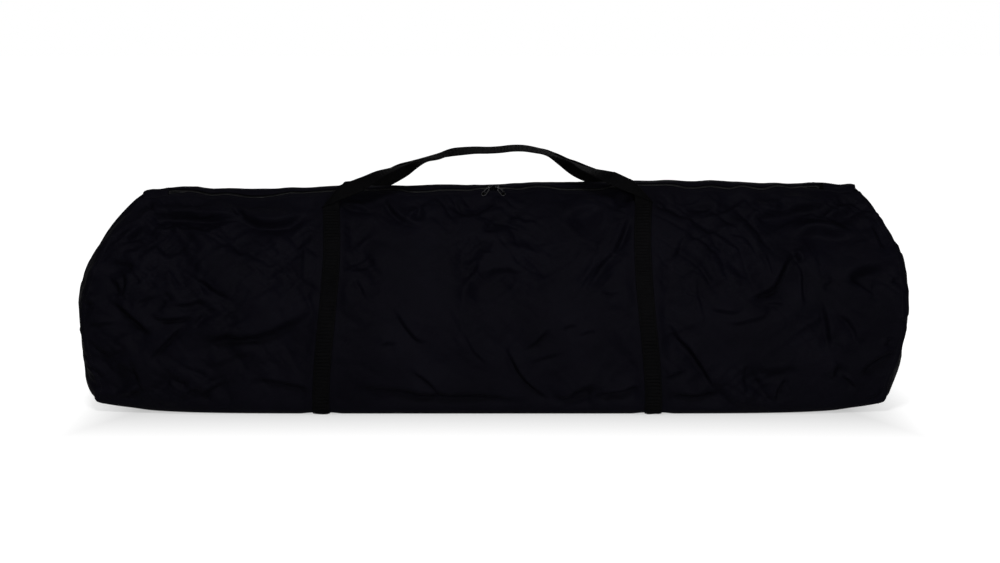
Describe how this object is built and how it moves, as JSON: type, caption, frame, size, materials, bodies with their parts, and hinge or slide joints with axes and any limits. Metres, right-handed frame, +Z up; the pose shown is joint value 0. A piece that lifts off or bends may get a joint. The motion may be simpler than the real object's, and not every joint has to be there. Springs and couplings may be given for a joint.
{
  "type": "roundnet set in carry bag",
  "caption": "Roundnet game set packed in a long black zipped carry bag with two webbing handles.",
  "frame": {"origin": "on the ground under the middle of the bag", "axes": "+Z up; +X along the bag, to the right seen from the front; the front faces -Y"},
  "size_m": [1.268, 0.2516, 0.3939],
  "materials": {
    "cloth": "woven polyester, matte",
    "webbing": "ribbed polypropylene webbing",
    "zip_tape": "fine woven tape",
    "zip_coil": "grey nylon coil",
    "enamel": "black enamel, worn bright on the edges",
    "rim_steel": "powder-coated steel",
    "leg_plastic": "moulded nylon",
    "foot_rubber": "moulded rubber",
    "net_cord": "knotless nylon net",
    "hook_plastic": "moulded acetal",
    "ball_rubber": "grained inflated rubber"
  },
  "bodies": {
    "bag": {"body_panel": "cloth", "end_panel_left": "cloth", "end_panel_right": "cloth", "seam_binding_left": "webbing", "seam_binding_right": "webbing", "zip_tape_front": "zip_tape", "zip_tape_rear": "zip_tape", "zip_teeth_front": "zip_coil", "zip_teeth_rear": "zip_coil", "zip_stop_left": "enamel", "zip_stop_right": "enamel", "zip_tab_left": "cloth", "zip_tab_right": "cloth", "strap_left": "webbing", "strap_right": "webbing", "rim_tube_1": "rim_steel", "rim_tube_2": "rim_steel", "rim_tube_3": "rim_steel", "rim_tube_4": "rim_steel", "rim_tube_5": "rim_steel", "leg_1": "leg_plastic", "leg_2": "leg_plastic", "leg_3": "leg_plastic", "leg_4": "leg_plastic", "leg_5": "leg_plastic", "leg_foot_1": "foot_rubber", "leg_foot_2": "foot_rubber", "leg_foot_3": "foot_rubber", "leg_foot_4": "foot_rubber", "leg_foot_5": "foot_rubber", "folded_net": "net_cord", "net_hooks": "hook_plastic", "ball_1": "ball_rubber", "ball_2": "ball_rubber", "ball_3": "ball_rubber"},
    "slider_left": {"slider_left": "enamel"},
    "slider_right": {"slider_right": "enamel"},
    "pull_left": {"pull_left": "enamel"},
    "pull_right": {"pull_right": "enamel"},
    "handle_front": {"handle_front": "webbing"},
    "handle_rear": {"handle_rear": "webbing"}
  },
  "joints": [
    {"name": "slider_left_slide", "type": "slide", "parent": "bag", "child": "slider_left", "axis": [-1, 0, -0.0074], "range_m": [0, 0.48]},
    {"name": "slider_right_slide", "type": "slide", "parent": "bag", "child": "slider_right", "axis": [1, 0, 0.0074], "range_m": [0, 0.48]},
    {"name": "pull_left_swing", "type": "hinge", "parent": "slider_left", "child": "pull_left", "pos_m": [-0.00583, -0.01083, 0.33258], "axis": [-1, 0, -0.0074], "range_deg": [0, 175]},
    {"name": "pull_right_swing", "type": "hinge", "parent": "slider_right", "child": "pull_right", "pos_m": [0.00577, -0.01083, 0.33266], "axis": [-1, 0, -0.0074], "range_deg": [0, 175]},
    {"name": "handle_front_fold", "type": "hinge", "parent": "bag", "child": "handle_front", "pos_m": [-0.00001, -0.04092, 0.30739], "axis": [1, 0, 0.0067], "range_deg": [0, 132]},
    {"name": "handle_rear_fold", "type": "hinge", "parent": "bag", "child": "handle_rear", "pos_m": [-0.00001, 0.04409, 0.30743], "axis": [-1, 0, -0.0067], "range_deg": [0, 132]}
  ]
}
